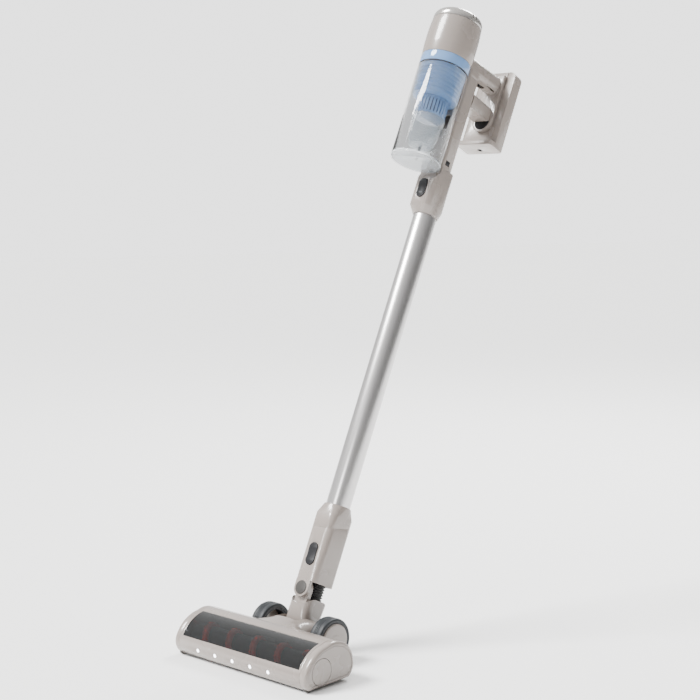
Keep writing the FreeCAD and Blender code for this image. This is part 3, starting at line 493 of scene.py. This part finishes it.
def hump(y, half, top, low, power, steps=40):
    """One cross-section of the dome, from its left foot over the top to its right foot."""
    ring = []
    for i in range(steps + 1):
        a = math.pi * i / steps
        cx, cz = -math.cos(a), math.sin(a)
        ring.append(Vector((half * math.copysign(abs(cx) ** (2 / power), cx), FRONT + y,
                            low + (top - low) * abs(cz) ** (2 / power))) / 1000)
    ring += [Vector((half * (1 - 2 * i / 12), FRONT + y, low)) / 1000 for i in range(1, 12)]
    return ring


dome = lofted("hinge_dome", [hump(*row) for row in (
    (58, 40, 58.6, 50, 2.4), (62, 52, 59.4, 46, 2.3), (68, 60, 60.2, 40, 2.2), (74, 59, 60.9, 32, 2.2),
    (80, 53, 61.4, 24, 2.3), (84, 48, 61.6, 16, 2.5), (90, 46.5, 61.7, 10, 2.8), (98, 46, 61.4, 7, 3.0),
    (106, 46, 60.2, 6, 3.2), (114, 46, 58.0, 6, 3.2), (122, 46, 54.8, 6, 3.2), (130, 45.8, 49.8, 6, 3.2),
    (137, 45.4, 43.0, 7, 3.2), (143, 44.8, 34.5, 9, 3.2), (147, 44.0, 25.5, 12, 3.2),
    (148.6, 42.8, 19.0, 15, 3.0))])


def slab(x0, x1, y0, y1, z0, z1, roll):
    """A block with its edges rolled over, for cutting or for adding."""
    form = bmesh.new()
    bmesh.ops.create_cube(form, size=1.0)
    form.transform(Matrix.Translation(Vector((x0 + x1, y0 + y1, z0 + z1)) / 2000)
                   @ Matrix.Diagonal(Vector((x1 - x0, y1 - y0, z1 - z0, 1000)) / 1000))
    bmesh.ops.bevel(form, geom=form.edges, offset=roll / 1000, segments=5, affect="EDGES", profile=0.5)
    mesh = bpy.data.meshes.new("slab")
    form.to_mesh(mesh)
    form.free()
    return new_object("slab", mesh)


dome = bored(dome, [slab(-21.5, 21.5, FRONT + 89, FRONT + 230, 12.5, 140, 6.0),
                    drill(*HINGE, 4.0, -30, 30)])
finished(dome, abs_grey, "floor_head", "body_plastic", "neck_cover")

# ---------------------------------------------------------------- neck fork
# The fork stands on the tilt hinge and carries the side swivel at its top. Its back runs
# down in one curve to the hinge barrel, and it is cored for the hose.


def pillar(t, half, front, back, roll, steps=6):
    """A rounded rectangle across the stick at height t."""
    ring = []
    for cx, cb, start in ((half - roll, back - roll, 0), (-half + roll, back - roll, 90),
                          (-half + roll, front + roll, 180), (half - roll, front + roll, 270)):
        for i in range(steps + 1):
            a = math.radians(start + 90 * i / steps)
            ring.append(leaned(cx + roll * math.cos(a), cb + roll * math.sin(a), t))
    return ring


fork = lofted("neck_fork", [pillar(*row) for row in (
    (-15.5, 17.8, -5, 5, 2), (-13, 18.6, -10, 10, 3), (-8, 19, -14, 14.5, 3.5), (0, 19.2, -16.6, 16.8, 4),
    (8, 19.6, -19.0, 17.0, 6), (16, 19.9, -21.6, 17.6, 9), (24, 20.1, -23.4, 19.0, 11.5),
    (32, 20.2, -24.4, 20.8, 13),
    (40, 20.3, -24.6, 22.2, 14), (46, 20.4, -24.6, 22.8, 14), (52, 20.4, -24.6, 22.9, 14))])


def drill_stick(radius, along, b0, b1, x=0.0, b=0.0, t=0.0):
    """A closed cylinder in the stick's frame, along the stick or towards the user."""
    form = bmesh.new()
    start, end = ((leaned(x, b, b0), leaned(x, b, b1)) if along == "t"
                  else (leaned(x, b0, t), leaned(x, b1, t)))
    turn = (end - start).to_track_quat("Z", "Y").to_matrix().to_4x4()
    bmesh.ops.create_cone(form, cap_ends=True, segments=96, radius1=radius / 1000, radius2=radius / 1000,
                          depth=(end - start).length, matrix=Matrix.Translation((start + end) / 2) @ turn)
    mesh = bpy.data.meshes.new("drill")
    form.to_mesh(mesh)
    form.free()
    return new_object("drill", mesh)


fork = bored(fork, [drill_stick(23.7, "b", -40, 40, t=62.0), drill_stick(14.4, "t", -2, 80, b=5.0)])
tongue = [(-12 * math.cos(math.pi * i / 24), 62 + 12 * math.sin(math.pi * i / 24)) for i in range(25)]
tongue += [(12, 38), (-12, 38)]
tongue = lofted("swivel_tongue", [[leaned(x * f, b, 62 + (t - 62) * f) for x, t in tongue]
                                  for b, f in ((-19.7, 0.96), (-19.3, 1.0), (-12.4, 1.0), (-12.0, 0.96))])


def merged(first, *others):
    """Put several pieces' meshes into the first one's object."""
    form = bmesh.new()
    for thing in (first,) + others:
        form.from_mesh(thing.data)
    form.to_mesh(first.data)
    form.free()
    for thing in others:
        bpy.data.objects.remove(thing)
    return first


finished(merged(fork, tongue), abs_grey, "neck_yoke", "body_plastic", "neck_yoke")

# ---------------------------------------------------------------- head window
# Smoked polycarbonate over the roller, polished outside, so the brush shows through it
# darkly while the room reflects along its length.
smoked = clear("smoked_polycarbonate", "#85898C", 0.03, 1.2, coat=0.8)
outer = three_point_arc((-3.5, 31.2), (0.6, 37.6), (6.4, 43.4), 10)
outer += three_point_arc((6.4, 43.4), (20.2, 53.1), (36.8, 58.5), 24) + [(36.8, 58.5)]
pane = outer + [(y + 1.1, z - 1.75) for y, z in reversed(outer)]
pane[-1] = (-1.4, 31.2)
pane_stations = ((-118, 0.992), (-117.4, 1), (-116, 1), (-60, 1), (60, 1), (116, 1), (117.4, 1), (118, 0.992))
pane = lofted("smoked_window", [[Vector((x, FRONT + 17 + (y - 17) * f, 45 + (z - 45) * f)) / 1000
                                 for y, z in pane] for x, f in pane_stations])
finished(pane, smoked, "floor_head", "smoked_window", "head_window")

# ---------------------------------------------------------------- brush roller
# A plush-covered tube with one helical row of stiff red nylon tufts, nine filaments wide.
# The plush has a short pile that drinks the light; the tufts stand proud and splay a little.
ROW_START, ROW_TURNS, ROW_LENGTH = 0.6, 4.4, 0.216
LINES, LINE_GAP_MM = 9, 0.95
plush = bpy.data.materials.new("charcoal_nylon_plush")
plush.use_nodes = True
plush_tree = plush.node_tree
plush_shader = plush_tree.nodes["Principled BSDF"]
plush_place = add(plush_tree, "ShaderNodeTexCoord").outputs["Object"]
pile = add(plush_tree, "ShaderNodeTexNoise", {"Scale": 900.0, "Detail": 4.0}, {"Vector": plush_place})
pile_shade = add(plush_tree, "ShaderNodeMix", {6: linear("#18191B"), 7: linear("#303133")},
                 {0: pile.outputs["Fac"]}, data_type="RGBA")
pile_relief = add(plush_tree, "ShaderNodeBump", {"Strength": 0.35, "Distance": 0.0004},
                  {"Height": pile.outputs["Fac"]})
plush_tree.links.new(pile_shade.outputs[2], plush_shader.inputs["Base Color"])
plush_tree.links.new(pile_relief.outputs["Normal"], plush_shader.inputs["Normal"])
plush_shader.inputs["Roughness"].default_value = 0.9
plush_shader.inputs["Sheen Weight"].default_value = 0.25
plush_shader.inputs["Specular IOR Level"].default_value = 0.1
core = [(14, -112), (18.6, -112), (19.0, -111.2), (19.0, 111.2), (18.6, 112), (14, 112)]
finished(turned("plush_core", core, across(*ROLLER), 96), plush, "brush_roller", "plush", "brush_core")

bristle = moulded("red_nylon_filament", "#E2432A", "#D0351F", 0.45, 0.5, 0.3)
tuft_tree = bpy.data.node_groups.new("tuft_rows", "GeometryNodeTree")
tuft_tree.interface.new_socket("Geometry", in_out="INPUT", socket_type="NodeSocketGeometry")
for socket_name, kind in (("Core Radius", "NodeSocketFloat"), ("Row Length", "NodeSocketFloat"),
                          ("Turns", "NodeSocketFloat"), ("Tufts", "NodeSocketInt"),
                          ("Tuft Height", "NodeSocketFloat"), ("Tuft Radius", "NodeSocketFloat"),
                          ("Start Angle", "NodeSocketFloat"), ("Seed", "NodeSocketInt")):
    tuft_tree.interface.new_socket(socket_name, in_out="INPUT", socket_type=kind)
tuft_tree.interface.new_socket("Geometry", in_out="OUTPUT", socket_type="NodeSocketGeometry")
given = tuft_tree.nodes.new("NodeGroupInput").outputs
helix = add(tuft_tree, "GeometryNodeCurveSpiral", {"Resolution": 64, "Reverse": True},
            {"Rotations": given["Turns"], "Start Radius": given["Core Radius"],
             "End Radius": given["Core Radius"], "Height": given["Row Length"]})
spaced = add(tuft_tree, "GeometryNodeResampleCurve", None,
             {"Curve": helix.outputs["Curve"], "Count": given["Tufts"]})
where = add(tuft_tree, "GeometryNodeInputPosition").outputs["Position"]
outward = add(tuft_tree, "ShaderNodeVectorMath", {1: (1.0, 1.0, 0.0)}, {0: where}, operation="MULTIPLY")
aim = add(tuft_tree, "FunctionNodeAlignEulerToVector", None, {"Vector": outward.outputs[0]}, axis="Z")
splay = add(tuft_tree, "FunctionNodeRandomValue", {0: (-0.16, -0.16, -0.5), 1: (0.16, 0.16, 0.5)},
            {"Seed": given["Seed"]}, data_type="FLOAT_VECTOR")
tilt = add(tuft_tree, "FunctionNodeRotateEuler", None,
           {"Rotation": aim.outputs[0], "Rotate By": splay.outputs[0]}, space="LOCAL")
tuft = add(tuft_tree, "GeometryNodeMeshCone", {"Vertices": 6, "Side Segments": 1, "Fill Segments": 1},
           {"Radius Top": given["Tuft Radius"], "Radius Bottom": given["Tuft Radius"],
            "Depth": given["Tuft Height"]})
stand = add(tuft_tree, "GeometryNodeInstanceOnPoints", None,
            {"Points": spaced.outputs["Curve"], "Instance": tuft.outputs["Mesh"],
             "Rotation": tilt.outputs[0]})
laid = add(tuft_tree, "GeometryNodeTransform", {"Translation": (0, 0, 0)},
           {"Geometry": stand.outputs["Instances"]})
spin_in = add(tuft_tree, "ShaderNodeCombineXYZ", None, {"Z": given["Start Angle"]})
tuft_tree.links.new(spin_in.outputs[0], laid.inputs["Rotation"])
real = add(tuft_tree, "GeometryNodeRealizeInstances", None, {"Geometry": laid.outputs["Geometry"]})
painted = add(tuft_tree, "GeometryNodeSetMaterial", {"Material": bristle},
              {"Geometry": real.outputs["Geometry"]})
tuft_tree.links.new(painted.outputs["Geometry"], tuft_tree.nodes.new("NodeGroupOutput").inputs["Geometry"])


def grown(name, tree, values):
    """Run a node tree with its inputs set, and keep the result as a plain mesh."""
    thing = new_object(name, bpy.data.meshes.new(name))
    modifier = thing.modifiers.new("grow", "NODES")
    modifier.node_group = tree
    for item in tree.interface.items_tree:
        if item.item_type == "SOCKET" and item.in_out == "INPUT" and item.name in values:
            modifier[item.identifier] = values[item.name]
    return settled(thing)


row_parts = []
for line in range(LINES):
    shift = (line - 4) * LINE_GAP_MM
    row_parts.append(grown("tuft_row", tuft_tree, {
        "Core Radius": 0.0178, "Row Length": ROW_LENGTH, "Turns": ROW_TURNS, "Tufts": 430,
        "Tuft Height": 0.0062, "Tuft Radius": 0.0007, "Seed": 3 + line,
        "Start Angle": ROW_START + shift / 216 * ROW_TURNS * 2 * math.pi}))
rows = bmesh.new()
for strip in row_parts:
    rows.from_mesh(strip.data)
    bpy.data.objects.remove(strip)
row_place = Matrix.Translation((-ROW_LENGTH / 2, ROLLER[0] / 1000, ROLLER[1] / 1000))
rows.transform(row_place @ Matrix.Rotation(math.pi / 2, 4, "Y"))
rows_mesh = bpy.data.meshes.new("bristle_rows")
rows.to_mesh(rows_mesh)
rows.free()
finished(new_object("bristle_rows", rows_mesh), bristle, "brush_roller", "bristle_red", "brush_bristles")

# ---------------------------------------------------------------- neck hose
# Ringed black rubber hose that carries air past the side swivel. It is held in the socket above and in the
# fork below, and runs straight between them.
hose_rubber = moulded("matt_black_epdm_rubber", "#161616", "#1E1E1E", 0.6, 0.7, 0.3)
hose = [(11.0, 30.2)]
for ring in range(16):
    z = 30.2 + 4.0 * ring
    hose += [(12.0, z + 0.2), (13.7, z + 1.2), (13.7, z + 2.4), (12.0, z + 3.4)]
hose += [(12.0, 94.8), (11.0, 94.8)]
flex = turned("ringed_hose", rolled(hose, 0.5, 2), about_stick(5.0), 48)
flex.data.materials.append(hose_rubber)
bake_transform(flex)
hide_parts("neck_hose")

# ---------------------------------------------------------------- buttons, trims and small parts
# Latch and release buttons are satin dark-grey ABS; the trigger is black. Each is dished
# or rolled where a finger lands.
dark_abs = moulded("satin_dark_grey_abs", "#262628", "#202022", 0.42, 0.9, 0.25, shine=0.14)
swivel_grey = moulded("mid_grey_abs", "#454341", "#3E3C3A", 0.4, 0.9, 0.2, shine=0.14)
for node, name, body, roll, material, slot_name in (
        ("upper_latch_button", "wand_button", "upper_latch", 0.9, dark_abs, "dark_plastic"),
        ("lower_latch_button", "socket_button", "lower_latch", 0.9, dark_abs, "dark_plastic"),
        ("battery_release_button", "battery_button", "battery_button", 0.8, black_abs, "dark_plastic"),
        ("bin_release_button", "bin_button", "bin_button", 0.6, dark_abs, "dark_plastic"),
        ("swivel_cap", "swivel_disc", "neck_socket", 0.4, swivel_grey, "dark_plastic"),
        ("trigger", "finger_trigger", "trigger", 0.8, black_abs, "black_plastic"),
        ("sole_plate", "head_sole", "floor_head", 0.4, dark_abs, "dark_plastic"),
        ("front_rollers", "corner_rollers", "front_rollers", 0.6, swivel_grey, "dark_plastic"),
        ("charge_socket", "charging_inlet", "battery_pack", 0.3, black_abs, "black_plastic"),
        ("bin_seal", "bin_gasket", "dust_bin", 0.3, hose_rubber, "rubber_black"),
        ("roller_ends", "roller_journals", "brush_roller", 0.4, black_abs, "black_plastic"),
        ("drive_belt", "toothed_belt", "floor_head", 0.2, hose_rubber, "rubber_black")):
    finished(softened(node, name, roll, 2, 40), material, body, slot_name, node)

# ---------------------------------------------------------------- head lights
# Five clear lenses in the front wall, each over a white LED on one board.
lens = bpy.data.materials.new("lit_clear_lens")
lens.use_nodes = True
lens_tree = lens.node_tree
lens_shader = lens_tree.nodes["Principled BSDF"]
lens_noise = add(lens_tree, "ShaderNodeTexNoise", {"Scale": 300.0},
                 {"Vector": add(lens_tree, "ShaderNodeTexCoord").outputs["Object"]})
lens_colour = add(lens_tree, "ShaderNodeMix", {6: linear("#FFFFFF"), 7: linear("#F2F6FF")},
                  {0: lens_noise.outputs["Fac"]}, data_type="RGBA")
lens_tree.links.new(lens_colour.outputs[2], lens_shader.inputs["Base Color"])
lens_shader.inputs["Roughness"].default_value = 0.1
lens_shader.inputs["Emission Color"].default_value = linear("#F4F7FF")
lens_shader.inputs["Emission Strength"].default_value = 9.0
finished(softened("led_lenses", "led_lens_row", 0.5, 3, 40), lens, "floor_head", "led_clear", "led_lenses")

# ---------------------------------------------------------------- inner works
# Pieces that the casings hide: ground steel pins, zinc-plated motor cans, boards, cells,
# felt filters and the wiring in the wand. They keep their CAD shapes.
steel = bpy.data.materials.new("ground_steel")
can = bpy.data.materials.new("zinc_plated_can")
sleeve = bpy.data.materials.new("pvc_cell_sleeve")
board = bpy.data.materials.new("green_solder_mask")
felt = bpy.data.materials.new("white_filter_felt")
for material, dark, pale, roughness, metallic, scale in (
        (steel, "#8E8E8F", "#A6A6A7", 0.3, 1.0, 700), (can, "#77787A", "#8A8B8D", 0.38, 1.0, 300),
        (sleeve, "#2C6F80", "#2A6878", 0.35, 0.0, 60), (board, "#14502B", "#1A5E33", 0.4, 0.0, 260),
        (felt, "#D9D8D3", "#EAE9E4", 0.9, 0.0, 900)):
    material.use_nodes = True
    tree = material.node_tree
    shader = tree.nodes["Principled BSDF"]
    grain = add(tree, "ShaderNodeTexNoise", {"Scale": float(scale), "Detail": 3.0},
                {"Vector": add(tree, "ShaderNodeTexCoord").outputs["Object"]})
    shade = add(tree, "ShaderNodeMix", {6: linear(dark), 7: linear(pale)}, {0: grain.outputs["Fac"]},
                data_type="RGBA")
    relief = add(tree, "ShaderNodeBump", {"Strength": 0.2, "Distance": 0.0001},
                 {"Height": grain.outputs["Fac"]})
    tree.links.new(shade.outputs[2], shader.inputs["Base Color"])
    tree.links.new(relief.outputs["Normal"], shader.inputs["Normal"])
    shader.inputs["Roughness"].default_value = roughness
    shader.inputs["Metallic"].default_value = metallic
for material, names in ((steel, ("cyclone_rod", "head_axles", "head_screws", "motor_pulley", "motor_rotor",
                                 "swivel_pin", "trigger_spring")),
                        (can, ("motor_stator", "roller_motor")), (sleeve, ("battery_cells",)),
                        (board, ("battery_board", "control_board", "led_board")),
                        (felt, ("exhaust_filter", "pre_filter")), (plush, ("felt_strip",)),
                        (black_abs, ("impeller", "wand_inserts", "wand_wiring"))):
    for node in names:
        nodes[node].data.materials.clear()
        nodes[node].data.materials.append(material)
